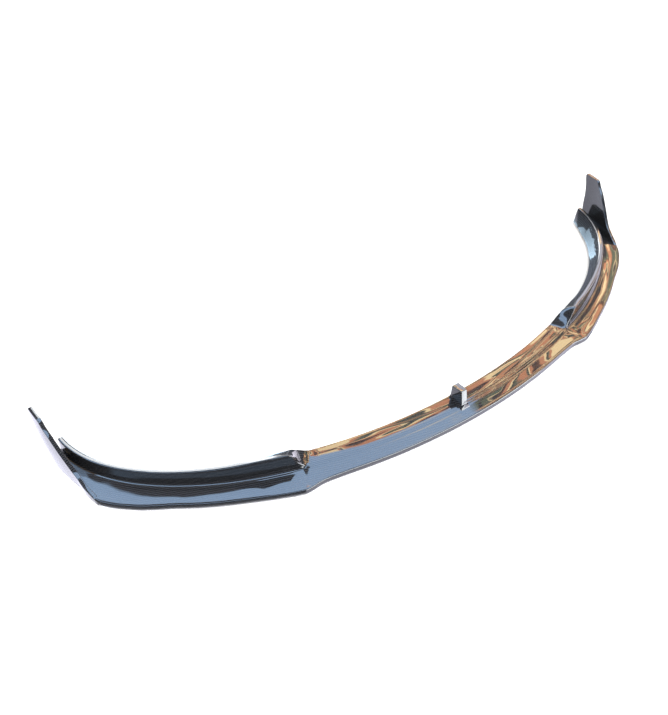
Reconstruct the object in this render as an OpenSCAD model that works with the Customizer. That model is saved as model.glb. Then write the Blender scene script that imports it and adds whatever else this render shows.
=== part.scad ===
// Front splitter lip: a thin moulded shell in one piece.
// The front of the lip faces -Y, the ground is the plane z = 0, and x = 0 is the plane of symmetry.
// Every section is set out from one plan line, the wall line, which is part of an ellipse.
// A section holds the rolled front edge, the blade, the raised wall with its top, and the sloped back.
// Between the two steps the wall dies out, and the section is a low ramp up to its rear edge.

/* [Plan] */
// Half width of the ellipse that the wall line follows
wall_half_w = 914; // [860:1:960]
// Depth of the ellipse that the wall line follows
wall_sweep = 477; // [430:1:520]
// Angle round the ellipse at which each arm ends
arm_end = 85.5; // [84:0.5:87]
// Width of the blade in front of the wall line, at the middle
blade_mid_w = 40; // [34:1:48]
// Width of the blade just outside the step, where the front edge steps forward
blade_step_w = 62; // [58:0.5:66]
// Width of the blade along the arm
blade_arm_w = 53; // [46:1:60]
// Width of the blade at the front corner
blade_corner_w = 67; // [60:1:72]
// Width between the wall line and the outer face of the winglet
blade_tail_w = 29; // [26:1:34]

/* [Section] */
// Thickness of the moulded skin
skin = 3; // [2:0.5:3.5]
// Height of the front edge
edge_h = 19; // [16:1:24]
// Width of the flat return under the front edge
return_w = 10; // [8:1:14]
// Height of the blade where it meets the foot of the wall
foot_h = 21.5; // [20:0.5:25]
// Height of the ramp's rear edge at the middle
ramp_h = 29; // [26:1:34]
// Depth of the ramp behind the wall line
ramp_depth = 41; // [34:1:48]

/* [Side walls] */
// Height of the wall's top next to the step
wall_in_h = 82; // [70:1:90]
// Height of the wall's top at the arm's outer end
wall_out_h = 63; // [54:1:70]
// Width of the level strip along the wall's top
top_w = 12; // [10:0.5:15]
// Depth of the shelf at the step
shelf_depth = 29; // [24:1:34]
// Height of the shelf's rear edge at the step
shelf_back_h = 64; // [54:1:68]
// Depth of the sloped back along the arm
back_depth = 31; // [26:1:36]
// Height of the sloped back's lower edge at the arm's outer end
back_low_h = 9; // [5:1:14]
// Angle round the ellipse at which the step starts to rise from the ramp
step_from = 28.2; // [27:0.1:29.5]
// Angle round the ellipse at which the step reaches its full height
step_to = 31.5; // [31:0.1:33]
// How far the end face of the step leans round towards the middle, in degrees for each 10 mm of depth
step_lean = 0.24; // [0:0.02:0.5]

/* [Winglets] */
// Height of each winglet's top
wing_h = 172; // [140:1:190]
// Thickness of each winglet
wing_t = 10; // [8:0.5:12]
// How far the winglet's top reaches behind the front of the lip
wing_tip_y = 508; // [495:1:530]
// Where the sloping front edge of the winglet meets its top, behind the front of the lip
wing_shoulder_y = 449; // [435:1:460]
// Where the foot of the winglet ends on the ground, behind the front of the lip
wing_foot_y = 471; // [462:1:485]

/* [Centre fin] */
// Width of the fin at its rear
fin_rear_w = 22; // [16:1:28]
// Width of the fin at its front
fin_front_w = 18; // [12:1:24]
// Height of the fin's top at its rear
fin_rear_h = 70; // [60:1:80]
// Height of the fin's top at its front
fin_front_h = 76; // [62:1:86]
// Length of the fin's top
fin_top_l = 34; // [26:1:40]
// Length of the fin's foot
fin_foot_l = 52; // [44:1:58]
// How far the fin's foot spreads on each side
fin_flare = 5; // [2:0.5:8]

/* [Hidden] */
carbon = [0.11, 0.12, 0.14];
top_round = 4;
edge_round = 4;
fin_round = 2;
foot_reach_ramp = 9;
foot_reach_wall = 14;
ramp_lift = 3;
wing_from_y = 288;
wing_lean = 3;
wing_round = 4;
lip_depth = wing_tip_y;

// The angle a share q of the way through the step
function in_step(q) = step_from + (step_to - step_from) * q;

// Each law is a list of [angle round the ellipse, value], joined by a smooth curve.
blade_law = [
    [0, blade_mid_w], [21, blade_mid_w + 0.8], [25, blade_mid_w + 3.5], [26.8, blade_mid_w + 7.5],
    [28.4, blade_step_w - 6], [30, blade_step_w], [31.2, blade_step_w - 0.3],
    [35, (blade_step_w + blade_arm_w) / 2 + 0.5], [40, blade_arm_w + 1.5], [51, blade_arm_w],
    [59, (blade_arm_w + blade_corner_w) / 2 + 2],
    [66, blade_corner_w], [70, blade_tail_w + 25.5], [73, blade_tail_w + 12.5],
    [77, blade_tail_w + 4.5], [81, blade_tail_w + 1], [90, blade_tail_w - 1]
];
top_law = [
    [0, foot_h + ramp_lift], [step_from - 2, foot_h + ramp_lift - 1], [in_step(0), foot_h + ramp_lift],
    [in_step(0.3), foot_h + 10], [in_step(0.6), foot_h + 26], [in_step(0.93), wall_in_h - 3.5],
    [in_step(1.03), wall_in_h], [35, wall_in_h], [42, wall_in_h - 8],
    [60, wall_out_h + 3], [75, wall_out_h], [90, wall_out_h]
];
back_law = [
    [0, ramp_h], [step_from - 2, ramp_h], [in_step(0), ramp_h + 1.5], [in_step(0.3), ramp_h + 8],
    [in_step(0.6), ramp_h + 19], [in_step(0.93), shelf_back_h - 3], [in_step(1.03), shelf_back_h],
    [33.5, shelf_back_h], [37, 54], [41, 42], [46, 30],
    [55, back_low_h + 7], [66, back_low_h + 2], [90, back_low_h]
];
depth_law = [
    [0, ramp_depth], [step_from - 2, ramp_depth], [in_step(0.3), ramp_depth - 3],
    [in_step(0.93), shelf_depth + 2], [in_step(1.03), shelf_depth], [35, shelf_depth - 1],
    [47, back_depth], [74, back_depth], [81, back_depth - 7], [90, 10]
];
// Where the inner edge of the wall's top lies between the top (0) and the lower edge of the back (1)
crown_law = [[0, 0.3], [step_from, 0.3], [step_to, 0.36], [36, 0.2], [41, 0.05], [90, 0.03]];
// How strongly the cuts lean with the step's end face
lean_law = [[0, 0], [step_from - 6, 0], [step_from, 1], [step_to, 0.8], [38, 0], [90, 0]];

function span_of(law, t, i = 0) = i >= len(law) - 2 || t <= law[i + 1][0] ? i : span_of(law, t, i + 1);
function chord(law, i) = (law[i + 1][1] - law[i][1]) / (law[i + 1][0] - law[i][0]);
// The slope at a key is zero where the law turns, and otherwise never steep enough to overshoot
function key_slope(law, i) =
    i == 0 || i == len(law) - 1 ? 0
    : chord(law, i - 1) * chord(law, i) <= 0 ? 0
    : 2 / (1 / chord(law, i - 1) + 1 / chord(law, i));
function hermite(a, b, ma, mb, q) =
    a * (2 * q ^ 3 - 3 * q ^ 2 + 1) + b * (3 * q ^ 2 - 2 * q ^ 3)
    + ma * (q ^ 3 - 2 * q ^ 2 + q) + mb * (q ^ 3 - q ^ 2);
function on_span(law, t, i) =
    let (h = law[i + 1][0] - law[i][0])
    hermite(law[i][1], law[i + 1][1], h * key_slope(law, i), h * key_slope(law, i + 1), (t - law[i][0]) / h);
function value(law, t) = on_span(law, abs(t), span_of(law, abs(t)));

function mix(a, b, q) = a + (b - a) * q;
function clamp01(q) = min(1, max(0, q));
function unit(v) = v / norm(v);

// A point on the ellipse, the outward direction there, and a point set off from it
function wall_point(t) = [wall_half_w * sin(t), blade_mid_w + wall_sweep * (1 - cos(t))];
function outward(t) = unit([wall_sweep * sin(t), -wall_half_w * cos(t)]);
function plan(t, off) = wall_point(t) + off * outward(t);

// The outer face of one section as [distance in front of the wall line, height]
function front_edge(w) = [
    [w - return_w, 0], [w - edge_round, 0], [w - edge_round * 0.3, edge_round * 0.3], [w, edge_round],
    [w - 0.6, edge_h - 5], [w - 2, edge_h - 1.8], [w - 5, edge_h - 0.2]
];
function bend(a, b, c, q) = mix(mix(a, b, q), mix(b, c, q), q);
function wall_foot(foot, corner, top) = [for (q = [0:0.25:1]) bend(foot, corner, top, q)];
function section(t) =
    let (
        w = value(blade_law, t),
        top = value(top_law, t),
        back = value(back_law, t),
        depth = value(depth_law, t),
        crown = value(crown_law, t),
        rise = clamp01((top - foot_h - ramp_lift) / 45),
        foot = [mix(foot_reach_ramp, foot_reach_wall, rise), foot_h],
        crease = [mix(3.5, 0.8, rise), foot_h + 0.22 * (top - foot_h)],
        round_top = min(top_round, 0.4 * (top - crease[1])),
        inner = [-top_w, mix(top, back, crown)],
        rear = [-depth, back]
    )
    concat(
        front_edge(w),
        [mix([w - 5, edge_h - 0.2], foot, 0.5) + [0, 0.4]],
        wall_foot(foot, [crease[0] + 0.6, foot_h + 0.3], crease),
        [[0, top - round_top], [-0.3 * round_top, top - 0.3 * round_top], [-round_top, top]],
        [inner, mix(inner, rear, 0.12) - [0, 0.3], mix(inner, rear, 0.55) - [0, 0.6 * (1 - rise)], rear]
    );

// Where sections are cut: close together at the step and the corner, wider apart elsewhere
half_cuts = concat(
    [for (t = [3:3:21]) t], [for (k = [0:5]) mix(21, step_from, 0.45 + 0.55 * k / 6)],
    [for (q = [0:0.1:0.8]) in_step(q)], [for (q = [0.87, 0.93, 0.98, 1.03]) in_step(q)],
    [for (q = [1.15, 1.3]) min(in_step(q), mix(in_step(1.03), 34, 2.6 * (q - 1.03)))],
    [for (t = [34:2:66]) t], [for (t = [67.5:1.5:77]) t], [79, 81, 83.5],
    [arm_end]
);
half_list = [for (c = half_cuts) if (is_num(c)) c else for (d = c) d];
cuts = concat([for (i = [len(half_list) - 1:-1:0]) -half_list[i]], [0], half_list);

// The angle of a point at distance d from the wall line, on the cut made at angle t
function leaned(t, d) = t + sign(t) * value(lean_law, t) * step_lean / 10 * min(d, 6);
outer_face = [for (t = cuts) [for (p = section(t)) let (q = plan(leaned(t, p[0]), p[0])) [q[0], q[1], p[1]]]];
rows = len(cuts);
cols = len(outer_face[0]);
function grid_normal(g, i, j) =
    unit(cross(
        g[min(rows - 1, i + 1)][j] - g[max(0, i - 1)][j],
        g[i][min(cols - 1, j + 1)] - g[i][max(0, j - 1)]
    ));
inner_face = [
    for (i = [0:rows - 1]) [for (j = [0:cols - 1]) outer_face[i][j] - skin * grid_normal(outer_face, i, j)]
];

function corner(i, j, face) = (face * rows + i) * cols + j;
function two(a, b, c, d) = [[a, b, c], [a, c, d]];
function shell_faces() = [
    for (i = [0:rows - 2], j = [0:cols - 2])
        each two(corner(i, j, 0), corner(i, j + 1, 0), corner(i + 1, j + 1, 0), corner(i + 1, j, 0)),
    for (i = [0:rows - 2], j = [0:cols - 2])
        each two(corner(i, j, 1), corner(i + 1, j, 1), corner(i + 1, j + 1, 1), corner(i, j + 1, 1)),
    for (i = [0:rows - 2])
        each two(corner(i, 0, 0), corner(i + 1, 0, 0), corner(i + 1, 0, 1), corner(i, 0, 1)),
    for (i = [0:rows - 2])
        each two(
            corner(i, cols - 1, 0), corner(i, cols - 1, 1), corner(i + 1, cols - 1, 1), corner(i + 1, cols - 1, 0)
        ),
    for (j = [0:cols - 2])
        each two(corner(0, j, 0), corner(0, j, 1), corner(0, j + 1, 1), corner(0, j + 1, 0)),
    for (j = [0:cols - 2])
        each two(
            corner(rows - 1, j, 0), corner(rows - 1, j + 1, 0), corner(rows - 1, j + 1, 1), corner(rows - 1, j, 1)
        )
];

// The blade, ramp, walls and steps as one thin skin
module shell() {
    polyhedron(
        points = [for (f = [outer_face, inner_face], row = f, p = row) p],
        faces = shell_faces(),
        convexity = 10
    );
}

// The winglet is built of level slices, each a slim strip from its front edge to its rear edge
wing_front_law = [
    [0, wing_from_y], [edge_h - 3, wing_from_y + 6], [37, 331], [57, 357], [93, 387], [131, 417],
    [wing_h, wing_shoulder_y]
];
wing_rear_law = [
    [0, wing_foot_y], [15, wing_foot_y + 4], [41, 486], [70, 491], [97, 493], [127, 498], [wing_h, wing_tip_y]
];
wing_rows = [0, 8, 16, 24, 32, 42, 54, 68, 84, 102, 122, 144, 160];
wing_levels = concat(
    [for (z = wing_rows) z * (wing_h - wing_round) / 172],
    [wing_h - wing_round, wing_h - 0.3 * wing_round, wing_h]
);
// The foot of the winglet follows the front edge round the corner and then runs straight back
foot_angle_from = 66;
function foot_line(t) = plan(t, value(blade_law, t));
foot_list = [for (t = [foot_angle_from:1:86]) foot_line(t)];
function x_on_foot(y, i = 0) =
    i >= len(foot_list) - 2 || y <= foot_list[i + 1][1]
    ? mix(foot_list[i][0], foot_list[i + 1][0], (y - foot_list[i][1]) / (foot_list[i + 1][1] - foot_list[i][1]))
    : x_on_foot(y, i + 1);
function bulge(y, z) = 0.6 + wing_lean * sin(180 * clamp01(z / wing_h)) * clamp01((y - wing_from_y) / 40);
function strip(z) =
    let (
        tight = z > wing_h - wing_round ? z - wing_h + wing_round : 0,
        inset = wing_round - sqrt(max(0, wing_round ^ 2 - tight ^ 2)),
        y_a = value(wing_front_law, z) + inset + wing_t / 3,
        y_b = value(wing_rear_law, z) - inset - wing_t / 4,
        t_half = wing_t / 2 - inset,
        mid = [for (q = [0:0.125:1]) let (y = mix(y_a, y_b, q)) [x_on_foot(y) + bulge(y, z) - wing_t / 2, y]]
    )
    concat(
        [for (p = mid) [p[0] + t_half, p[1], z]],
        [for (side = [1, -1]) [mid[8][0] + side * t_half * 0.7, y_b + wing_t / 4 * 0.8, z]],
        [for (i = [8:-1:0]) [mid[i][0] - t_half, mid[i][1], z]],
        [for (side = [-1, 1]) [mid[0][0] + side * t_half * 0.7, y_a - wing_t / 3 * 0.8, z]]
    );
wing_slices = [for (z = wing_levels) strip(z)];
strip_len = len(wing_slices[0]);
module winglet() {
    polyhedron(
        points = [for (s = wing_slices, p = s) p],
        faces = concat(
            [for (k = [0:len(wing_slices) - 2], j = [0:strip_len - 1])
                let (n = (j + 1) % strip_len)
                each two(k * strip_len + j, (k + 1) * strip_len + j, (k + 1) * strip_len + n, k * strip_len + n)],
            [[for (j = [0:strip_len - 1]) j]],
            [[for (j = [strip_len - 1:-1:0]) (len(wing_slices) - 1) * strip_len + j]]
        ),
        convexity = 4
    );
}

// The fin stands on the ramp with its upright rear face flush with the ramp's rear edge
fin_rear_y = blade_mid_w + ramp_depth - 4;
module fin_ball(x, y, z) {
    translate([x, y, z]) sphere(r = fin_round, $fn = 16);
}
module fin() {
    front_y = fin_rear_y - fin_top_l;
    foot_y = fin_rear_y - fin_foot_l;
    hull() {
        for (side = [-1, 1]) {
            fin_ball(side * (fin_rear_w / 2 - fin_round), fin_rear_y - fin_round, fin_rear_h - fin_round);
            fin_ball(side * (fin_front_w / 2 - fin_round), front_y + fin_round, fin_front_h - fin_round);
            fin_ball(side * (fin_rear_w / 2), fin_rear_y - fin_round, ramp_h);
            fin_ball(side * (fin_front_w / 2 + 1), foot_y + fin_round + 4, foot_h + 3);
        }
    }
    hull() {
        for (side = [-1, 1]) {
            fin_ball(side * (fin_rear_w / 2), fin_rear_y - fin_round, ramp_h + 8);
            fin_ball(side * (fin_front_w / 2), foot_y + 12, foot_h + 12);
            fin_ball(side * (fin_rear_w / 2 + fin_flare), fin_rear_y - fin_round, ramp_h - fin_round);
            fin_ball(side * (fin_front_w / 2 + fin_flare), foot_y + fin_round, foot_h);
        }
    }
}

// The whole lip is brought to its exact overall depth and height as one moulding
module splitter_lip() {
    color(carbon)
    translate([0, -lip_depth / 2, 0])
    resize([0, lip_depth, wing_h]) {
        shell();
        winglet();
        mirror([1, 0, 0]) winglet();
        fin();
    }
}

splitter_lip();
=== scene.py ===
"""A front splitter lip in clear-coated twill carbon, dressed for the photograph's view."""

import math

import bmesh
import bpy
from mathutils import Matrix, Vector, noise


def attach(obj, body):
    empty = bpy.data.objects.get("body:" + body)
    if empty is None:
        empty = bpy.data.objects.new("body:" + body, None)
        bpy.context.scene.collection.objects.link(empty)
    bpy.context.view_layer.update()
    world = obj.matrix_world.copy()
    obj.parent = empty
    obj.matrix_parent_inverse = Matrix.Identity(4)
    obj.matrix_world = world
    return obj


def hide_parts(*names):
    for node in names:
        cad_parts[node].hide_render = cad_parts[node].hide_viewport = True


bl_info = {
    "name": "Front Splitter Lip",
    "version": (1, 0, 0),
    "blender": (4, 5, 0),
    "location": "View3D > Sidebar > Lip",
    "description": "Builds the carbon skin, winglets and fin of a front splitter lip, and a studio for it",
    "category": "Object",
}

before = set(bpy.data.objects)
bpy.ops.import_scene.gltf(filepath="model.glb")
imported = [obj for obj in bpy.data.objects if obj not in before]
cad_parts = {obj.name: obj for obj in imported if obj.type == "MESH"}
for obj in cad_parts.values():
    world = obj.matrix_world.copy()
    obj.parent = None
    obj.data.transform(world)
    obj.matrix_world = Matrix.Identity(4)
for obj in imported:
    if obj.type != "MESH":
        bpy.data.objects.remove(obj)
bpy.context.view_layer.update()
NODE = "splitter_lip"
MM = 0.001
# The picture's height and the camera's focal length in pixels, and the sensor's size in millimetres
PICTURE_PX = 715
FOCAL_PX = 703
SENSOR = 36
# How many points of a section come before the foot of its wall
FOOT_AT = 20
# Edges sharper than this are a rim
RIM_ANGLE = math.radians(60)


def length(name, text, default):
    """A length property whose default is given in millimetres."""
    return bpy.props.FloatProperty(
        name=name, description=text, default=default * MM, min=0.0, unit="LENGTH", precision=4)


def angle(name, text, default):
    """An angle property whose default is given in degrees."""
    return bpy.props.FloatProperty(
        name=name, description=text, default=math.radians(default), subtype="ANGLE")


def tint(name, text, default):
    """A colour property."""
    return bpy.props.FloatVectorProperty(
        name=name, description=text, default=default, size=3, min=0.0, soft_max=1.0, subtype="COLOR")


def amount(name, text, default):
    """A plain number property that isn't negative."""
    return bpy.props.FloatProperty(name=name, description=text, default=default, min=0.0)


class LipSizes(bpy.types.PropertyGroup):
    """Sizes of the lip, the same as the solid model's, and of its finer forms."""
    wall_half_w: length("Wall half width", "Half width of the ellipse that the wall follows", 914)
    wall_sweep: length("Wall sweep", "Depth of the ellipse that the wall follows", 477)
    arm_end: angle("Arm end", "Angle round the ellipse at which each arm ends", 85.5)
    blade_mid_w: length("Blade, middle", "Width of the blade at the middle", 40)
    blade_step_w: length("Blade, step", "Width of the blade just outside the step", 62)
    blade_arm_w: length("Blade, arm", "Width of the blade along the arm", 53)
    blade_corner_w: length("Blade, corner", "Width of the blade at the front corner", 67)
    blade_tail_w: length("Blade, tail", "Width between the wall and the winglet's outer face", 29)
    skin: length("Skin", "Thickness of the moulded skin", 3)
    skin_rim: length("Skin rim", "Rounding of the skin's rim", 0.6)
    edge_h: length("Edge height", "Height of the front edge", 19)
    return_w: length("Return width", "Width of the flat return under the front edge", 10)
    foot_h: length("Foot height", "Height of the blade at the foot of the wall", 21.5)
    ramp_h: length("Ramp height", "Height of the ramp's rear edge", 29)
    ramp_depth: length("Ramp depth", "Depth of the ramp behind the wall line", 41)
    wall_in_h: length("Wall height, inner", "Height of the wall's top next to the step", 82)
    wall_out_h: length("Wall height, outer", "Height of the wall's top at the arm's end", 63)
    top_w: length("Top width", "Width of the level strip along the wall's top", 12)
    shelf_depth: length("Shelf depth", "Depth of the shelf at the step", 29)
    shelf_back_h: length("Shelf back height", "Height of the shelf's rear edge", 64)
    back_depth: length("Back depth", "Depth of the sloped back along the arm", 31)
    back_low_h: length("Back low height", "Height of the back's lower edge at the arm's end", 9)
    step_from: angle("Step from", "Angle at which the step starts to rise", 28.2)
    step_to: angle("Step to", "Angle at which the step is at its full height", 31.5)
    step_lean: bpy.props.FloatProperty(
        name="Step lean", description="Lean of the step's end face, in degrees for 10 mm", default=0.24)
    wing_h: length("Winglet height", "Height of each winglet's top", 172)
    wing_t: length("Winglet thickness", "Thickness of each winglet", 10)
    wing_tip_y: length("Winglet tip", "How far the winglet's top reaches back", 508)
    wing_shoulder_y: length("Winglet shoulder", "Where the sloping edge meets the top", 449)
    wing_foot_y: length("Winglet foot", "Where the winglet's foot ends", 471)
    wing_rim: length("Winglet rim", "Rounding of each winglet's rim", 3.2)
    wing_bulge: length("Winglet bulge", "How far each winglet bows outwards half way up", 3)
    fin_rear_w: length("Fin rear width", "Width of the fin at its rear", 22)
    fin_front_w: length("Fin front width", "Width of the fin at its front", 18)
    fin_rear_h: length("Fin rear height", "Height of the fin's top at its rear", 70)
    fin_front_h: length("Fin front height", "Height of the fin's top at its front", 76)
    fin_top_l: length("Fin top length", "Length of the fin's top", 34)
    fin_foot_l: length("Fin foot length", "Length of the fin's foot", 52)
    fin_flare: length("Fin flare", "How far the fin's foot spreads on each side", 5)
    fin_rim: length("Fin rim", "Rounding of the fin's edges", 1.8)
    wander: length("Surface wander", "How far the hand-laid surface strays from its true height", 0.22)
    back_swell: length("Back swell", "How far the sloped back of the arms swells out", 0.8)
    ramp_swell: length("Ramp swell", "How far the ramp's rear part swells up", 0.3)
    cut_step: angle("Cut spacing", "Angle between two cuts along the arms' skin", 0.5)


class LipFinish(bpy.types.PropertyGroup):
    """Colours and weave of the carbon laminate; the warp's extra lightness over the weft is painted sheen."""
    tow: length("Tow width", "Width of one fibre bundle in the twill", 1.75)
    # The twill is the cloth's own pattern, but the warp is coloured lighter than the weft as painted sheen,
    # in place of fibres that catch the light one way.
    warp: tint("Warp", "Colour of the bundles that run front to back", (0.025, 0.026, 0.028))
    weft: tint("Weft", "Colour of the bundles that run side to side", (0.004, 0.0045, 0.006))
    gap: tint("Gap", "Colour of the resin between two bundles", (0.004, 0.004, 0.005))
    relief: length("Weave relief", "Height of the bundles under the clear coat", 0.12)


class LipStage(bpy.types.PropertyGroup):
    """Camera, floor and lights."""
    eye: bpy.props.FloatVectorProperty(
        name="Eye", description="Where the camera stands", default=(-0.946, -1.0481, 1.385), size=3,
        unit="LENGTH")
    yaw: angle("Yaw", "Turn of the view from +Y towards +X", math.degrees(0.570))
    pitch: angle("Pitch", "How far the view looks down", math.degrees(0.766))
    roll: angle("Roll", "Roll of the camera", math.degrees(-0.017))
    lens: bpy.props.FloatProperty(
        name="Lens", description="Focal length in millimetres", default=FOCAL_PX * SENSOR / PICTURE_PX)
    shift: bpy.props.FloatVectorProperty(
        name="Shift", description="How far the picture is shifted, right and up, in picture heights",
        default=(0.0088, -0.0062), size=2)
    floor: tint("Floor", "Colour of the plain floor", (0.9, 0.9, 0.9))
    room: tint("Room", "Colour of the room as the floor sees it", (1.0, 1.0, 1.0))
    room_power: amount("Room power", "Brightness of the room", 1.05)
    card_power: amount("Card power", "Brightness of the reflector cards", 9.0)
    sky: tint("Sky card", "Colour of the pale blue reflector overhead", (0.36, 0.52, 0.76))
    warm: tint("Warm card", "Colour of the warm reflector beyond the right arm", (0.75, 0.31, 0.15))
    cream: tint("Cream card", "Colour of the brightest streaks of the warm reflector", (1.25, 0.93, 0.5))
    green: tint("Green card", "Colour of the grey-green streaks of the warm reflector", (0.13, 0.15, 0.09))
    dark: tint("Dark card", "Colour of what stands low round the lip", (0.02, 0.022, 0.028))
    ground: tint("Ground card", "Colour of the bright ground beside the lip", (0.17, 0.17, 0.2))
    nadir: tint("Nadir card", "Colour of the ground right below the lip", (0.42, 0.42, 0.45))
    pale: tint("Pale card", "Colour of the pale blue strip behind the lip", (0.26, 0.35, 0.43))
    strip: tint("Lavender card", "Colour of the pale strip beyond the right arm", (0.4, 0.41, 0.48))
    lilac: tint("Lilac card", "Colour of the pale card that the left step's end face sees", (0.42, 0.4, 0.47))
    haze: tint("Haze card", "Colour of the light haze high on the right", (0.9, 0.8, 0.66))
    glare: tint("Glare card", "Colour of the brightest strips behind the lip and before it", (1.1, 1.15, 1.2))
    shade: tint("Shade card", "Colour of the dark ceiling", (0.035, 0.035, 0.04))
    ragged: amount("Ragged edges", "How far the cards' edges stray, in degrees", 2.5)


def mix(a, b, q):
    """The value that lies the share q of the way from a to b."""
    return a + (b - a) * q


def clamp(q):
    """The nearest value to q between nought and one."""
    return min(1.0, max(0.0, q))


def follow(law, t):
    """A smooth curve, as in the solid model, through the law's (key, value) pairs; it never overshoots."""
    t = abs(t)
    last = len(law) - 1
    i = next((k for k in range(last) if t <= law[k + 1][0]), last - 1)

    def chord(k):
        return (law[k + 1][1] - law[k][1]) / (law[k + 1][0] - law[k][0])

    def slope(k):
        if k in (0, last) or chord(k - 1) * chord(k) <= 0:
            return 0.0
        return 2 / (1 / chord(k - 1) + 1 / chord(k))

    h = law[i + 1][0] - law[i][0]
    q = (t - law[i][0]) / h
    a, b, ma, mb = law[i][1], law[i + 1][1], h * slope(i), h * slope(i + 1)
    return (a * (2 * q**3 - 3 * q**2 + 1) + ma * (q**3 - 2 * q**2 + q)
            + b * (3 * q**2 - 2 * q**3) + mb * (q**3 - q**2))


def bend(a, b, c, n):
    """Points on a curve that leaves a towards b and arrives at c."""
    shares = [k / (n - 1) for k in range(n)]
    return [mix(mix(a, b, q), mix(b, c, q), q) for q in shares]


def smooth_through(points, n):
    """Points on a smooth curve through the second, third and fourth point, led by the first and the last."""
    first, a, b, c, last = points
    beyond = mix(b, last, 0.75)
    line = []
    for k in range(n):
        q = 2 * k / (n - 1)
        p0, p1, p2, p3 = (first, a, b, c) if q < 1 else (a, b, c, beyond)
        q = q if q < 1 else q - 1
        line.append(0.5 * (2 * p1 + (p2 - p0) * q + (2 * p0 - 5 * p1 + 4 * p2 - p3) * q**2
                           + (3 * p1 - p0 - 3 * p2 + p3) * q**3))
    return line


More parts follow.
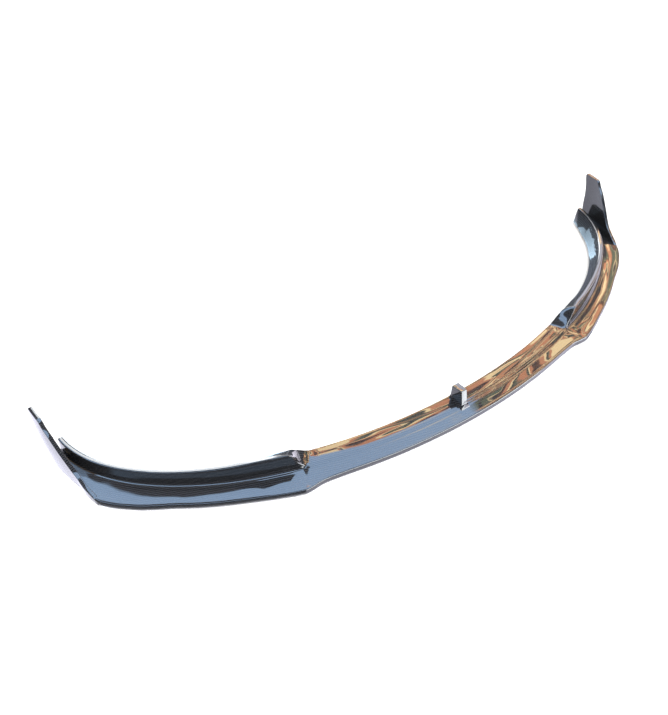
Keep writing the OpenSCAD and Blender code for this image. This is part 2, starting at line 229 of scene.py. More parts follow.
class Mould:
    """The lip's sizes in millimetres and degrees, with the laws that its sections follow."""

    def __init__(self, sizes):
        turned = ("arm_end", "step_from", "step_to", "cut_step")
        for name in LipSizes.__annotations__:
            value = getattr(sizes, name)
            if name in turned:
                value = math.degrees(value)
            elif name != "step_lean":
                value = value / MM
            setattr(self, name, round(value, 4))
        m = self
        step = self.in_step
        # Width of the blade
        m.blade_law = [
            (0, m.blade_mid_w), (21, m.blade_mid_w + 0.8), (25, m.blade_mid_w + 3.5),
            (26.8, m.blade_mid_w + 7.5), (28.4, m.blade_step_w - 6), (30, m.blade_step_w),
            (31.2, m.blade_step_w - 0.3), (35, (m.blade_step_w + m.blade_arm_w) / 2 + 0.5),
            (40, m.blade_arm_w + 1.5), (51, m.blade_arm_w), (59, (m.blade_arm_w + m.blade_corner_w) / 2 + 2),
            (66, m.blade_corner_w), (70, m.blade_tail_w + 25.5), (73, m.blade_tail_w + 12.5),
            (77, m.blade_tail_w + 4.5), (81, m.blade_tail_w + 1), (90, m.blade_tail_w - 1)]
        # Height of the wall's top
        m.top_law = [
            (0, m.foot_h + 3), (m.step_from - 2, m.foot_h + 2), (step(0), m.foot_h + 3),
            (step(0.3), m.foot_h + 10), (step(0.6), m.foot_h + 26), (step(0.93), m.wall_in_h - 3.5),
            (step(1.03), m.wall_in_h), (35, m.wall_in_h), (42, m.wall_in_h - 8),
            (60, m.wall_out_h + 3), (75, m.wall_out_h), (90, m.wall_out_h)]
        # Height of the rear edge
        m.back_law = [
            (0, m.ramp_h), (m.step_from - 2, m.ramp_h), (step(0), m.ramp_h + 1.5),
            (step(0.3), m.ramp_h + 8), (step(0.6), m.ramp_h + 19), (step(0.93), m.shelf_back_h - 3),
            (step(1.03), m.shelf_back_h), (33.5, m.shelf_back_h), (37, 54), (41, 42), (46, 30),
            (55, m.back_low_h + 7), (66, m.back_low_h + 2), (90, m.back_low_h)]
        # Distance of the rear edge behind the wall line
        m.depth_law = [
            (0, m.ramp_depth), (m.step_from - 2, m.ramp_depth), (step(0.3), m.ramp_depth - 3),
            (step(0.93), m.shelf_depth + 2), (step(1.03), m.shelf_depth), (35, m.shelf_depth - 1),
            (47, m.back_depth), (74, m.back_depth), (81, m.back_depth - 7), (90, 10)]
        # How far the level top leans from the wall's height to the rear edge's, as a share
        m.crown_law = [
            (0, 0.88), (m.step_from - 2, 0.88), (m.step_to, 0.36), (36, 0.2), (41, 0.05), (90, 0.03)]
        # Share of the step's lean
        m.lean_law = [
            (0, 0), (m.step_from - 6, 0), (m.step_from, 1), (m.step_to, 0.8), (38, 0), (90, 0)]
        # Front and rear edge of the winglets by height
        m.wing_front_law = [
            (0, 288), (m.edge_h - 3, 294), (37, 331), (57, 357), (93, 387), (131, 417),
            (m.wing_h, m.wing_shoulder_y)]
        m.wing_rear_law = [
            (0, m.wing_foot_y), (15, m.wing_foot_y + 4), (41, 486), (70, 491), (97, 493), (127, 498),
            (m.wing_h, m.wing_tip_y)]
        # The blade's front line past the corner, which the winglets stand on
        self.foot_line = [self.plan(t, follow(m.blade_law, t)) for t in range(66, 87)]

    def in_step(self, q):
        """The angle that lies the share q of the way through the step."""
        return self.step_from + (self.step_to - self.step_from) * q

    def outward(self, t):
        """The direction square to the wall line, seen from above."""
        a = math.radians(t)
        return Vector((self.wall_sweep * math.sin(a), -self.wall_half_w * math.cos(a))).normalized()

    def plan(self, t, off):
        """A point set off from the wall line, with y counted back from the front of the lip."""
        a = math.radians(t)
        x = self.wall_half_w * math.sin(a)
        y = self.blade_mid_w + self.wall_sweep * (1 - math.cos(a))
        return Vector((x, y)) + self.outward(t) * off

    def place(self, x, y, z):
        """A point in the frame, in metres."""
        return Vector((x, y - self.wing_tip_y / 2, z)) * MM

    def ripple(self, x, y, z):
        """How far the hand-laid surface wanders from its true height at a point, in millimetres."""
        near = noise.noise(Vector((x / 62, y / 34, z / 60)))
        far = noise.noise(Vector((x / 150 + 7, y / 80, z / 90)))
        return self.wander * (near + 1.6 * far)

    def leaned(self, t, off):
        """The angle of a point set off from the wall line, where the step's end face leans."""
        most = 6
        return t + math.copysign(1, t) * follow(self.lean_law, t) * self.step_lean / 10 * min(off, most)

    def section(self, t):
        """The outer face of one section, as (distance in front of the wall line, height).

        It runs from the hidden return under the front edge over the blade and the wall, or the ramp in the
        wall's place, to the rear edge.
        """
        top, back = follow(self.top_law, t), follow(self.back_law, t)
        ramp_top, full_rise = self.foot_h + 3, 45
        rise = clamp((top - ramp_top) / full_rise)
        ramp_share = 1 - clamp(rise * 6)
        foot = Vector((mix(9, 14, rise), self.foot_h + 1.4 * ramp_share))
        head = Vector((0, top))
        inner = Vector((-self.top_w, mix(top, back, follow(self.crown_law, t))))
        rear = Vector((-follow(self.depth_law, t), back))
        width = follow(self.blade_law, t)
        shoulder = Vector((width - 6, self.edge_h))
        line = self.front_edge(width, shoulder) + self.blade(shoulder, foot, rise)
        wall = self.wall(foot, head, inner, rear, rise)
        ramp = self.ramp(foot, head, inner, rear, len(wall))
        line += [mix(a, b, ramp_share) for a, b in zip(wall, ramp)]
        square = Vector((rear.y - inner.y, inner.x - rear.x)).normalized()
        swell = square * mix(self.ramp_swell, self.back_swell, rise)
        line += [mix(inner, rear, q) + swell * math.sin(math.pi * q) for q in (0.3, 0.5, 0.7, 0.85)]
        return line + [rear]

    def front_edge(self, width, shoulder):
        """The hidden return and the rolled front edge, up to the shoulder where the blade starts."""
        start, low = Vector((width - self.return_w, 0)), Vector((width, 0))
        high = Vector((width - 0.6, self.edge_h + 0.3))
        line = [start, mix(start, low, 0.55)]
        line += bend(mix(start, low, 0.6), low, Vector((width, 4.2)), 6)
        line += bend(Vector((width - 0.5, self.edge_h - 4.6)), high, shoulder, 6)
        return line

    def blade(self, shoulder, foot, rise):
        """The blade's face, straight before the ramp and hollow before the walls."""
        hollow = mix(1.0, 2.4, rise)
        shares = (0.15, 0.3, 0.45, 0.6, 0.75, 0.88)
        return [Vector((mix(shoulder.x, foot.x, q), mix(shoulder.y, foot.y, q**hollow))) for q in shares]

    def wall(self, foot, head, inner, rear, rise):
        """The side wall: the bend at its foot, the crease, the face and the rounded edges of its top."""
        crease = Vector((mix(3.5, 0.8, rise), self.foot_h + 0.22 * (head.y - self.foot_h)))
        heel = Vector((crease.x + 0.6, self.foot_h + 0.3))
        below = head - Vector((0, min(4.0, 0.4 * (head.y - crease.y))))
        behind = mix(head, inner, min(4.0, 0.33 * self.top_w) / self.top_w)
        level = mix(head, inner, 0.75)
        line = bend(foot, heel, crease, 7)
        line += [mix(crease, below, q) for q in (0.25, 0.6)]
        line += bend(below, head, behind, 5)
        line += [mix(behind, level, 0.5)]
        line += bend(level, inner, mix(inner, rear, 0.12), 5)
        return line

    def ramp(self, foot, head, inner, rear, count):
        """The ramp, which climbs from the blade and flattens out towards the rear."""
        knee = mix(head, inner, 0.67)
        lead = foot + Vector((9, -1.4))
        climb = Vector((1.5, mix(foot.y, knee.y, 0.6)))
        return smooth_through([lead, foot, climb, knee + Vector((0, 1)), rear], count)

    def skin_cuts(self):
        """Angles at which the skin is cut into sections: close together at the steps, the same each side."""
        half = [1.5 * k for k in range(15)]
        half += [22.5 + 0.75 * k for k in range(4)]
        half += [25.2 + 0.3 * k for k in range(9)]
        half += [self.in_step(k / 32) for k in range(-1, 37)]
        half = sorted({round(cut, 3) for cut in half})
        half = [cut for i, cut in enumerate(half) if i == 0 or cut - half[i - 1] > 0.04]
        last = half[-1]
        count = max(2, round((self.arm_end - last) / self.cut_step))
        half += [mix(last, self.arm_end, (k + 1) / count) for k in range(count)]
        return [-cut for cut in reversed(half[1:])] + half

    def x_on_foot(self, y):
        """How far out the winglet's foot lies, y behind the front."""
        line = self.foot_line
        i = next((k for k in range(len(line) - 1) if y <= line[k + 1].y), len(line) - 2)
        return mix(line[i].x, line[i + 1].x, (y - line[i].y) / (line[i + 1].y - line[i].y))


def mould():
    """The mould for the scene's present sizes."""
    return Mould(bpy.context.scene.lip_sizes)


def grid(rows, cols):
    """A flat grid and its vertices as rows of columns."""
    bm = bmesh.new()
    bmesh.ops.create_grid(bm, x_segments=rows - 1, y_segments=cols - 1, size=1.0)
    table = {(round(v.co.x, 4), round(v.co.y, 4)): v for v in bm.verts}
    xs = sorted({x for x, y in table})
    ys = sorted({y for x, y in table})
    return bm, [[table[x, y] for y in ys] for x in xs]


def face_towards(bm, vert, way):
    """Turns all faces so that the normal at a vertex points a given way."""
    bmesh.ops.recalc_face_normals(bm, faces=bm.faces)
    if vert.normal.dot(way) < 0:
        bmesh.ops.reverse_faces(bm, faces=bm.faces)


def lay_cloth(bm, where):
    """Writes the cloth's own coordinates, in metres, as the piece's UV map."""
    uv = bm.loops.layers.uv.new("cloth")
    for face in bm.faces:
        for loop in face.loops:
            loop[uv].uv = where[loop.vert]


def rim_edges(bm, above=None):
    """The sharp edges of a piece, or those that lie above a height."""
    sharp = [e for e in bm.edges if len(e.link_faces) == 2 and e.calc_face_angle(0.0) > RIM_ANGLE]
    return [e for e in sharp if above is None or max(v.co.z for v in e.verts) > above]


def round_over(bm, edges, width, segments):
    """Rounds edges by a width in millimetres."""
    bmesh.ops.bevel(
        bm, geom=edges, offset=width * MM, offset_type="OFFSET", segments=segments, profile=0.5,
        affect="EDGES", material=-1, clamp_overlap=True)


def finish_piece(name, bm, sharp):
    """Makes a piece of the bmesh, in the frame, that rides with the lip."""
    mesh = bpy.data.meshes.new(name)
    bm.to_mesh(mesh)
    bm.free()
    for face in mesh.polygons:
        face.use_smooth = True
    mesh.set_sharp_from_angle(angle=math.radians(sharp))
    piece = bpy.data.objects.new(name, mesh)
    bpy.context.scene.collection.objects.link(piece)
    piece.data.materials.append(carbon())
    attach(piece, "root")
    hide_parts(NODE)


class LIP_OT_skin(bpy.types.Operator):
    """Builds the lip's skin: front edge, blade, ramp, walls and steps"""
    bl_idname = "lip.skin"
    bl_label = "Build Skin"

    def execute(self, context):
        m = mould()
        cuts = m.skin_cuts()
        sections = [m.section(t) for t in cuts]
        bm, table = grid(len(cuts), len(sections[0]))
        where = {}
        # The surface is true up to this height, and wanders fully this much higher
        true_h, fade_h = 12, 6
        for t, line, row in zip(cuts, sections, table):
            runs = [0.0]
            for a, b in zip(line, line[1:]):
                runs.append(runs[-1] + (b - a).length)
            origin, out = m.plan(t, line[FOOT_AT].x), m.outward(t)
            for point, run, vert in zip(line, runs, row):
                spot = m.plan(m.leaned(t, point.x), point.x)
                stray = m.ripple(spot.x, spot.y, point.y) * clamp((point.y - true_h) / fade_h)
                vert.co = m.place(spot.x, spot.y, point.y + stray)
                where[vert] = (origin + out * (runs[FOOT_AT] - run)) * MM
        face_towards(bm, table[len(cuts) // 2][FOOT_AT], Vector((0, 0, 1)))
        lay_cloth(bm, where)
        bmesh.ops.solidify(bm, geom=bm.faces[:], thickness=m.skin * MM)
        round_over(bm, rim_edges(bm), m.skin_rim, 3)
        finish_piece("lip_skin", bm, 50)
        return {"FINISHED"}


class LIP_OT_winglets(bpy.types.Operator):
    """Builds the upright winglets at the ends of the arms"""
    bl_idname = "lip.winglets"
    bl_label = "Build Winglets"

    def execute(self, context):
        m = mould()
        for name, side in (("winglet_right", 1), ("winglet_left", -1)):
            self.build(m, name, side)
        return {"FINISHED"}

    def build(self, m, name, side):
        """One winglet: a sheet of levels between its two edges, given its thickness inwards."""
        rows, cols = 41, 29
        # The top's corners are rounded off over this height, by this much at the front and at the rear
        corner_h, front_cut, rear_cut = 9, 7, 5
        # How far the outer face stands out from the blade's front line, and the run over which its bow grows
        stand_out, bow_run = 0.6, 40
        cloth_from = 900
        foot_front = m.wing_front_law[0][1]
        bm, table = grid(rows, cols)
        where = {}
        for level, row in enumerate(table):
            z = m.wing_h * (level / (rows - 1))
            near_top = max(0.0, z - (m.wing_h - corner_h)) / corner_h
            front = follow(m.wing_front_law, z) + front_cut * near_top**3
            rear = follow(m.wing_rear_law, z) - rear_cut * near_top**3
            bow = m.wing_bulge * math.sin(math.pi * clamp(z / m.wing_h))
            for column, vert in enumerate(row):
                y = mix(front, rear, column / (cols - 1))
                x = m.x_on_foot(y) + (stand_out + bow * clamp((y - foot_front) / bow_run))
                vert.co = m.place(side * x, y, z)
                where[vert] = Vector((side * (cloth_from - z), y)) * MM
        face_towards(bm, table[rows // 2][cols // 2], Vector((side, 0, 0)))
        lay_cloth(bm, where)
        bmesh.ops.solidify(bm, geom=bm.faces[:], thickness=m.wing_t * MM)
        round_over(bm, rim_edges(bm, above=MM), m.wing_rim, 5)
        finish_piece(name, bm, 60)


class LIP_OT_fin(bpy.types.Operator):
    """Builds the upright fin in the middle of the ramp"""
    bl_idname = "lip.fin"
    bl_label = "Build Fin"

    def execute(self, context):
        m = mould()
        half_rear, half_front, flare = m.fin_rear_w / 2, m.fin_front_w / 2, m.fin_flare
        rear = m.blade_mid_w + m.ramp_depth - 4
        toe = rear - m.fin_foot_l
        # Each ring's front, half width at the rear and at the front, and height at the front and at the rear
        rings = [
            (toe, half_rear + flare + 1, half_front + flare + 1, m.foot_h - 2.4, m.ramp_h - 2.6),
            (toe + 1, half_rear + flare, half_front + flare, m.foot_h - 0.6, m.ramp_h - 1),
            (toe + 9, half_rear + 1, half_front + 1, m.foot_h + 13, m.ramp_h + 9),
            (rear - m.fin_top_l, half_rear, half_front, m.fin_front_h, m.fin_rear_h)]
        bm = bmesh.new()
        bmesh.ops.create_cube(bm, size=1.0)
        base = min(bm.faces, key=lambda f: f.calc_center_median().z)
        lid = max(bm.faces, key=lambda f: f.calc_center_median().z)
        self.set_ring(m, base, rear, rings[0])
        self.set_ring(m, lid, rear, rings[1])
        for ring in rings[2:]:
            lid = self.draw_up(bm, lid)
            self.set_ring(m, lid, rear, ring)
        bmesh.ops.recalc_face_normals(bm, faces=bm.faces)
        over_ramp = (m.ramp_h + 1) * MM
        round_over(bm, [e for e in bm.edges if min(v.co.z for v in e.verts) > over_ramp], m.fin_rim, 4)
        self.lift_foot(m, bm)
        self.lay_faces(bm)
        finish_piece("centre_fin", bm, 50)
        return {"FINISHED"}

    def set_ring(self, m, face, rear, ring):
        """Moves the four corners of the fin's base or lid to a ring."""
        front, half_rear, half_front, front_h, rear_h = ring
        middle = face.calc_center_median()
        for vert in face.verts:
            right = vert.co.x > 0
            y, half, z = (rear, half_rear, rear_h) if vert.co.y > middle.y else (front, half_front, front_h)
            vert.co = m.place(half if right else -half, y, z)

    def draw_up(self, bm, lid):
        """Draws new sides up from the lid and gives the new lid."""
        made = bmesh.ops.extrude_face_region(bm, geom=[lid])["geom"]
        bmesh.ops.delete(bm, geom=[lid], context="FACES_ONLY")
        return next(f for f in made if isinstance(f, bmesh.types.BMFace))

    def lift_foot(self, m, bm):
        """Lifts the middle of the foot into the skin, because the ramp bulges between the fin's ends."""
        behind_wall, below_ramp, lift = 5, 2, 3.6
        cut = bmesh.ops.bisect_plane(
            bm, geom=[*bm.verts, *bm.edges, *bm.faces],
            plane_co=m.place(0, m.blade_mid_w + behind_wall, 0), plane_no=(0, 1, 0))
        for part in cut["geom_cut"]:
            if isinstance(part, bmesh.types.BMVert) and part.co.z < (m.ramp_h - below_ramp) * MM:
                part.co.z += lift * MM

    def lay_faces(self, bm):
        """Lays the cloth flat on each side of the fin."""
        square = 0.7
        uv = bm.loops.layers.uv.new("cloth")
        for face in bm.faces:
            side, front = abs(face.normal.x) > square, abs(face.normal.y) > square
            for loop in face.loops:
                x, y, z = loop.vert.co
                loop[uv].uv = (z, y) if side else (x, z) if front else (x, y)


def node(tree, kind, **settings):
    """A new node with its settings, in rows of twelve in the order they are made."""
    count = len(tree.nodes)
    made = tree.nodes.new(kind)
    made.location = (220 * (count % 12), -280 * (count // 12))
    for name, value in settings.items():
        setattr(made, name, value)
    return made


def feed(tree, value, goal):
    """Gives an input its value, which is a socket, a colour or a number."""
    if isinstance(value, bpy.types.NodeSocket):
        tree.links.new(value, goal)
    elif isinstance(value, (int, float)):
        goal.default_value = value
    else:
        goal.default_value = (*value, 1)


def maths(tree, operation, a, b=None):
    """A Math node whose inputs are sockets or numbers."""
    made = node(tree, "ShaderNodeMath", operation=operation)
    feed(tree, a, made.inputs[0])
    if b is not None:
        feed(tree, b, made.inputs[1])
    return made.outputs[0]


def blend(tree, share, low, high):
    """A colour mix; each colour is a socket or a plain colour."""
    made = node(tree, "ShaderNodeMix", data_type="RGBA")
    feed(tree, share, made.inputs["Factor"])
    feed(tree, low, made.inputs[6])
    feed(tree, high, made.inputs[7])
    return made.outputs[2]


def twill_weave():
    """A two-by-two twill: where the warp lies on top, how near the gap is, and the bundles' height."""
    group = bpy.data.node_groups.get("Twill Weave")
    if group:
        return group
    group = bpy.data.node_groups.new("Twill Weave", "ShaderNodeTree")
    group.interface.new_socket(name="Cloth", in_out="INPUT", socket_type="NodeSocketVector")
    rate = group.interface.new_socket(name="Tows per Metre", in_out="INPUT", socket_type="NodeSocketFloat")
    rate.default_value = 570.0
    for name in ("Warp Mask", "Gap Mask", "Height"):
        group.interface.new_socket(name=name, in_out="OUTPUT", socket_type="NodeSocketFloat")
    inside, outside = node(group, "NodeGroupInput"), node(group, "NodeGroupOutput")
    scaled = node(group, "ShaderNodeVectorMath", operation="SCALE")
    feed(group, inside.outputs["Cloth"], scaled.inputs[0])
    feed(group, inside.outputs["Tows per Metre"], scaled.inputs["Scale"])
    split = node(group, "ShaderNodeSeparateXYZ")
    feed(group, scaled.outputs[0], split.inputs[0])
    u, v = split.outputs[0], split.outputs[1]
    cell = maths(group, "ADD", maths(group, "FLOOR", u), maths(group, "FLOOR", v))
    warp = maths(group, "LESS_THAN", maths(group, "FLOORED_MODULO", cell, 4.0), 1.5)
    across_u, across_v = (
        maths(group, "ABSOLUTE", centred(group, maths(group, "FRACT", way))) for way in (u, v))
    side = node(group, "ShaderNodeMix", data_type="FLOAT")
    feed(group, warp, side.inputs["Factor"])
    feed(group, across_v, side.inputs[2])
    feed(group, across_u, side.inputs[3])
    edge = node(group, "ShaderNodeMapRange", interpolation_type="SMOOTHSTEP")
    edge.inputs["From Min"].default_value = 0.36
    edge.inputs["From Max"].default_value = 0.5
    feed(group, side.outputs[0], edge.inputs["Value"])
    hump = maths(group, "MULTIPLY", side.outputs[0], side.outputs[0])
    feed(group, warp, outside.inputs["Warp Mask"])
    feed(group, edge.outputs["Result"], outside.inputs["Gap Mask"])
    feed(group, maths(group, "SUBTRACT", 1.0, maths(group, "MULTIPLY", hump, 3.0)), outside.inputs["Height"])
    return group


def carbon():
    """Dark twill carbon under a clear coat, its warp coloured lighter than its weft as painted sheen."""
    made = bpy.data.materials.get("clear_coated_twill")
    if made:
        return made
    look = bpy.context.scene.lip_finish
    made = bpy.data.materials.new("clear_coated_twill")
    made.use_nodes = True
    tree = made.node_tree
    tree.nodes.clear()
    cloth = node(tree, "ShaderNodeUVMap", uv_map="cloth")
    weave = node(tree, "ShaderNodeGroup", node_tree=twill_weave())
    weave.inputs["Tows per Metre"].default_value = 1 / look.tow
    feed(tree, cloth.outputs[0], weave.inputs["Cloth"])
    # Warp and weft take their two colours along the twill: a real weave pattern, with the warp's extra
    # lightness painted sheen.
    fibre = blend(tree, weave.outputs["Warp Mask"], look.weft, look.warp)
    bump = node(tree, "ShaderNodeBump")
    bump.inputs["Strength"].default_value = 0.35
    bump.inputs["Distance"].default_value = look.relief
    feed(tree, weave.outputs["Height"], bump.inputs["Height"])
    skin = node(tree, "ShaderNodeBsdfPrincipled")
    feed(tree, blend(tree, weave.outputs["Gap Mask"], fibre, look.gap), skin.inputs["Base Color"])
    feed(tree, bump.outputs[0], skin.inputs["Normal"])
    for name, value in (
            ("Metallic", 0.08), ("Specular IOR Level", 0.1), ("Roughness", 0.42),
            ("Coat Weight", 1.0), ("Coat Roughness", 0.005), ("Coat IOR", 1.6)):
        skin.inputs[name].default_value = value
    out = node(tree, "ShaderNodeOutputMaterial")
    feed(tree, skin.outputs[0], out.inputs[0])
    return made


# What the clear coat mirrors is set by compass direction, in degrees from +Y towards +X.
# Heights and softness are shares of the way from level up to overhead.

# How high the low cards reach
SKYLINE = (
    (-180, 0.42), (-130, 0.42), (-60, 0.4), (-20, 0.5), (26, 0.55), (29, 0.61), (33, 0.66), (39, 0.668),
    (45, 0.667), (50, 0.652), (54, 0.622), (58, 0.602), (63, 0.6), (70, 0.625), (76, 0.63), (110, 0.635),
    (130, 0.5), (180, 0.42))
# Where the sky gives way to the dark ceiling
CEILING = (
    (-180, 0.62), (-60, 0.6), (-20, 0.615), (-5, 0.635), (5, 0.658), (10, 0.672), (15, 0.7), (24, 0.76),
    (32, 1.0), (140, 1.0), (150, 0.62), (180, 0.62))
# Where the low cards are warm, and how strongly
WARMTH = ((-180, 0), (26, 0), (30, 1), (122, 1), (134, 0))
# Where the warm cards are mostly cream
BRIGHTNESS = ((-180, 0), (28, 1), (52, 0.9), (57, 0.3), (61, 0))
# Below this height all low cards are dark
DARK_BELOW = 0.27
# How soft the skyline and the ceiling's edge are
SKYLINE_SOFT = 0.008
CEILING_SOFT = 0.012


def small_cards(look):
    """Cards over the low ones and the sky.

    Each has its west, east, bottom and top in degrees, how far the top leans for each degree east, how soft
    the edges are in degrees, and the colour.
    """
    return [
        (-200, 200, -95, -54, 0, 8, look.nadir),
        (-62, -5, -52, -27.3, -0.25, 1, look.ground),
        (-11, 24, -60, -10, -0.42, 0.3, look.pale),
        (66, 150, -32, 4, 0, 1, look.lilac),
        (98, 180, -62, -34, 0, 2, look.ground),
        (32, 58, 13, 32, 0, 2, look.strip),
        (8, 24, -4, 46, 0, 2, look.glare),
        (130, 180, -24, 16, 0, 1, look.glare),
        (70, 82, 60, 70, 0, 4, look.haze)]


def centred(tree, value):
    """A value counted from one half."""
    return maths(tree, "SUBTRACT", value, 0.5)


def compass(degrees):
    """A compass direction as a share of the way round, where +Y is one half and +X lies further on."""
    return 0.5 + degrees / 360


def step_up(tree, value, line, soft):
    """A mask that turns from zero to one where the value passes the line."""
    made = node(tree, "ShaderNodeMapRange")
    feed(tree, maths(tree, "SUBTRACT", value, line), made.inputs["Value"])
    made.inputs["From Min"].default_value = -soft
    made.inputs["From Max"].default_value = soft
    return made.outputs[0]


def paint_ramp(tree, value, stops):
    """The colour that a ramp with (place, colour) stops has at a value."""
    made = node(tree, "ShaderNodeValToRGB")
    elements = made.color_ramp.elements
    while len(elements) > 1:
        elements.remove(elements[-1])
    for index, (place, colour) in enumerate(stops):
        stop = elements.new(place) if index else elements[0]
        stop.position = place
        stop.color = (*colour, 1)
    feed(tree, value, made.inputs[0])
    return made.outputs[0]


def profile(tree, turn, stops):
    """A value that changes with the compass direction."""
    return paint_ramp(tree, turn, [(compass(degrees), (value, value, value)) for degrees, value in stops])


def window(tree, turn, rise, west, east, bottom, top, lean, soft):
    """A mask that is one inside the given directions."""
    leaned = rise
    if lean:
        leaned = maths(tree, "SUBTRACT", rise, maths(tree, "MULTIPLY", centred(tree, turn), lean * 4))
    share = None
    for value, edge, span in (
            (turn, compass(west), 360), (turn, compass(east), -360), (rise, bottom / 90, 90),
            (leaned, top / 90, -90)):
        side = maths(tree, "MULTIPLY", maths(tree, "SUBTRACT", value, edge), span / soft)
        held = node(tree, "ShaderNodeClamp")
        feed(tree, maths(tree, "ADD", side, 0.5), held.inputs[0])
        share = maths(tree, "MULTIPLY", share, held.outputs[0]) if share else held.outputs[0]
    return share


def direction(tree):
    """The way a ray looks: its compass share, and its height as a share of the way up to overhead."""
    way = node(tree, "ShaderNodeTexCoord")
    split = node(tree, "ShaderNodeSeparateXYZ")
    feed(tree, way.outputs["Generated"], split.inputs[0])
    x, y, z = split.outputs
    turn = maths(tree, "ADD", maths(tree, "DIVIDE", maths(tree, "ARCTAN2", x, y), math.tau), 0.5)
    rise = maths(tree, "DIVIDE", maths(tree, "ARCSINE", z), math.pi / 2)
    return turn, rise


def pair(tree, x, y):
    """Two values as one vector."""
    made = node(tree, "ShaderNodeCombineXYZ")
    feed(tree, x, made.inputs[0])
    feed(tree, y, made.inputs[1])
    return made.outputs[0]


def frayed(tree, turn, rise, ragged):
    """The direction again, strayed by a fine noise so that the cards' edges are ragged."""
    fine = node(tree, "ShaderNodeTexNoise")
    fine.inputs["Scale"].default_value = 60
    fine.inputs["Detail"].default_value = 4
    feed(tree, pair(tree, turn, rise), fine.inputs["Vector"])
    stray = node(tree, "ShaderNodeSeparateColor")
    feed(tree, fine.outputs["Color"], stray.inputs[0])
    aside = maths(tree, "MULTIPLY", centred(tree, stray.outputs[0]), ragged / 180)
    upward = maths(tree, "MULTIPLY", centred(tree, stray.outputs[1]), ragged / 22.5)
    return maths(tree, "ADD", turn, aside), maths(tree, "ADD", rise, upward)


def marbling(tree, turn, rise, look):
    """The warm reflector: slanting streaks of warm, cream, green, brown and dark, finer towards the east."""
    finer_from, finer = compass(56), 2.6
    beyond = maths(tree, "MAXIMUM", maths(tree, "SUBTRACT", turn, finer_from), 0.0)
    drawn = maths(tree, "ADD", turn, maths(tree, "MULTIPLY", beyond, finer))
    streak = node(tree, "ShaderNodeMapping")
    streak.inputs["Scale"].default_value = (20, 9, 1)
    streak.inputs["Rotation"].default_value = (0, 0, math.radians(-35))
    feed(tree, pair(tree, drawn, rise), streak.inputs["Vector"])
    marble = node(tree, "ShaderNodeTexNoise")
    for name, value in (("Scale", 1.0), ("Detail", 2.0), ("Roughness", 0.4), ("Distortion", 0.6)):
        marble.inputs[name].default_value = value
    feed(tree, streak.outputs[0], marble.inputs["Vector"])
    lift = maths(tree, "MULTIPLY", profile(tree, turn, BRIGHTNESS), 0.1)
    warm, cream, green, dark = look.warm, look.cream, look.green, look.dark
    brown = [c * 0.22 for c in warm]
    return paint_ramp(tree, maths(tree, "ADD", marble.outputs[0], lift), [
        (0.0, warm), (0.25, brown), (0.33, dark), (0.4, dark), (0.405, green), (0.445, green), (0.45, cream),
        (0.455, dark), (0.49, brown), (0.5, warm), (0.535, warm), (0.54, cream), (0.555, cream), (0.56, dark),
        (0.58, green), (0.6, warm), (0.625, warm), (0.63, cream), (0.72, cream), (0.74, warm)])


def reflections(tree, look):
    """What the clear coat mirrors: low cards, the sky over them, the dark ceiling and the small cards."""
    turn, rise = direction(tree)
    low_turn, low_rise = frayed(tree, turn, rise, look.ragged)
    seen = blend(tree, profile(tree, turn, WARMTH), look.dark, marbling(tree, turn, rise, look))
    seen = blend(tree, maths(tree, "GREATER_THAN", low_rise, DARK_BELOW), look.dark, seen)
    seen = blend(tree, step_up(tree, rise, profile(tree, turn, SKYLINE), SKYLINE_SOFT), seen, look.sky)
    seen = blend(tree, step_up(tree, rise, profile(tree, turn, CEILING), CEILING_SOFT), seen, look.shade)
    for *limits, colour in small_cards(look):
        seen = blend(tree, window(tree, low_turn, low_rise, *limits), seen, colour)
    return seen


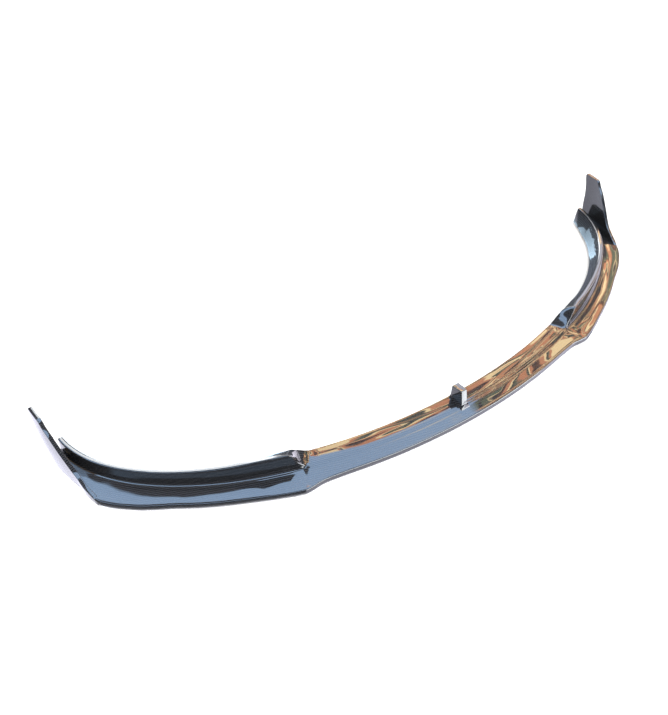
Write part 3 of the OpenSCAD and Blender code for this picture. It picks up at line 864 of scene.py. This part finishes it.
class LIP_OT_stage(bpy.types.Operator):
    """Sets up the camera, the pale floor and the soft lights"""
    bl_idname = "lip.stage"
    bl_label = "Set Up Stage"

    def execute(self, context):
        look = context.scene.lip_stage
        self.place_camera(look)
        self.lay_floor(look)
        self.hang_lights()
        self.fill_world(look)
        return {"FINISHED"}

    def place_camera(self, look):
        """Stands the camera where the photograph was taken from."""
        sin_yaw, cos_yaw = math.sin(look.yaw), math.cos(look.yaw)
        sin_pitch, cos_pitch = math.sin(look.pitch), math.cos(look.pitch)
        ahead = Vector((sin_yaw * cos_pitch, cos_yaw * cos_pitch, -sin_pitch))
        right = Vector((cos_yaw, -sin_yaw, 0))
        up = Vector((sin_yaw * sin_pitch, cos_yaw * sin_pitch, cos_pitch))
        c, s = math.cos(look.roll), math.sin(look.roll)
        right, up = right * c + up * s, up * c - right * s
        data = bpy.data.cameras.new("view")
        data.lens = look.lens
        data.sensor_width = SENSOR
        data.sensor_fit = "AUTO"
        data.shift_x, data.shift_y = look.shift
        data.clip_end = 50
        camera = bpy.data.objects.new("view", data)
        bpy.context.scene.collection.objects.link(camera)
        camera.matrix_world = Matrix((
            (right.x, up.x, -ahead.x, look.eye[0]),
            (right.y, up.y, -ahead.y, look.eye[1]),
            (right.z, up.z, -ahead.z, look.eye[2]),
            (0, 0, 0, 1)))
        bpy.context.scene.camera = camera

    def lay_floor(self, look):
        """Lays a wide plain floor just under the lip, which its clear coat doesn't mirror."""
        half_size, gap = 12.0, 0.5
        bm = bmesh.new()
        bmesh.ops.create_grid(bm, x_segments=2, y_segments=2, size=half_size)
        bmesh.ops.translate(bm, verts=bm.verts, vec=(0, 0, -gap * MM))
        mesh = bpy.data.meshes.new("floor")
        bm.to_mesh(mesh)
        bm.free()
        floor = bpy.data.objects.new("floor", mesh)
        bpy.context.scene.collection.objects.link(floor)
        paint = bpy.data.materials.new("floor_paint")
        paint.use_nodes = True
        body = paint.node_tree.nodes["Principled BSDF"]
        body.inputs["Base Color"].default_value = (*look.floor, 1)
        body.inputs["Roughness"].default_value = 0.9
        body.inputs["Specular IOR Level"].default_value = 0.1
        floor.data.materials.append(paint)
        floor.visible_glossy = False

    def hang_lights(self):
        """Hangs two soft round lights that aim at the lip, and that its clear coat doesn't mirror."""
        for name, place, size, power, colour in (
                ("key", (-1.6, -1.8, 3.2), 2.6, 150, (1, 0.98, 0.95)),
                ("fill", (2.4, -0.6, 2.8), 2.4, 70, (0.95, 0.97, 1))):
            data = bpy.data.lights.new(name, "AREA")
            data.shape = "DISK"
            data.size = size
            data.energy = power
            data.color = colour
            light = bpy.data.objects.new(name, data)
            bpy.context.scene.collection.objects.link(light)
            light.location = place
            light.visible_glossy = False
            light.rotation_euler = (-Vector(place)).to_track_quat("-Z", "Y").to_euler()

    def fill_world(self, look):
        """A white room for the floor; reflections see the cards that hang round the lip instead."""
        scene = bpy.context.scene
        scene.view_settings.view_transform = "Standard"
        scene.world = bpy.data.worlds.new("studio")
        scene.world.use_nodes = True
        tree = scene.world.node_tree
        tree.nodes.clear()
        choose = node(tree, "ShaderNodeMixShader")
        path = node(tree, "ShaderNodeLightPath")
        feed(tree, path.outputs["Is Glossy Ray"], choose.inputs[0])
        for goal, colour, power in (
                (choose.inputs[1], look.room, look.room_power),
                (choose.inputs[2], reflections(tree, look), look.card_power)):
            light = node(tree, "ShaderNodeBackground")
            feed(tree, colour, light.inputs["Color"])
            light.inputs["Strength"].default_value = power
            feed(tree, light.outputs[0], goal)
        out = node(tree, "ShaderNodeOutputWorld")
        feed(tree, choose.outputs[0], out.inputs[0])


class LIP_PT_panel(bpy.types.Panel):
    """Buttons and sizes for the lip"""
    bl_label = "Front Splitter Lip"
    bl_idname = "LIP_PT_panel"
    bl_space_type = "VIEW_3D"
    bl_region_type = "UI"
    bl_category = "Lip"

    def draw(self, context):
        for operator in OPERATORS:
            self.layout.operator(operator.bl_idname)
        for group in (context.scene.lip_sizes, context.scene.lip_finish, context.scene.lip_stage):
            box = self.layout.box()
            for name in group.__annotations__:
                box.prop(group, name)


OPERATORS = (LIP_OT_skin, LIP_OT_winglets, LIP_OT_fin, LIP_OT_stage)
CLASSES = (LipSizes, LipFinish, LipStage, *OPERATORS, LIP_PT_panel)


def register():
    """Adds the settings, the operators and the panel."""
    for cls in CLASSES:
        bpy.utils.register_class(cls)
    bpy.types.Scene.lip_sizes = bpy.props.PointerProperty(type=LipSizes)
    bpy.types.Scene.lip_finish = bpy.props.PointerProperty(type=LipFinish)
    bpy.types.Scene.lip_stage = bpy.props.PointerProperty(type=LipStage)


def unregister():
    """Takes the settings, the operators and the panel away again."""
    del bpy.types.Scene.lip_sizes, bpy.types.Scene.lip_finish, bpy.types.Scene.lip_stage
    for cls in reversed(CLASSES):
        bpy.utils.unregister_class(cls)


def main():
    """Builds the lip and its stage."""
    register()
    bpy.ops.lip.skin()
    bpy.ops.lip.winglets()
    bpy.ops.lip.fin()
    bpy.ops.lip.stage()


if __name__ == "__main__":
    main()
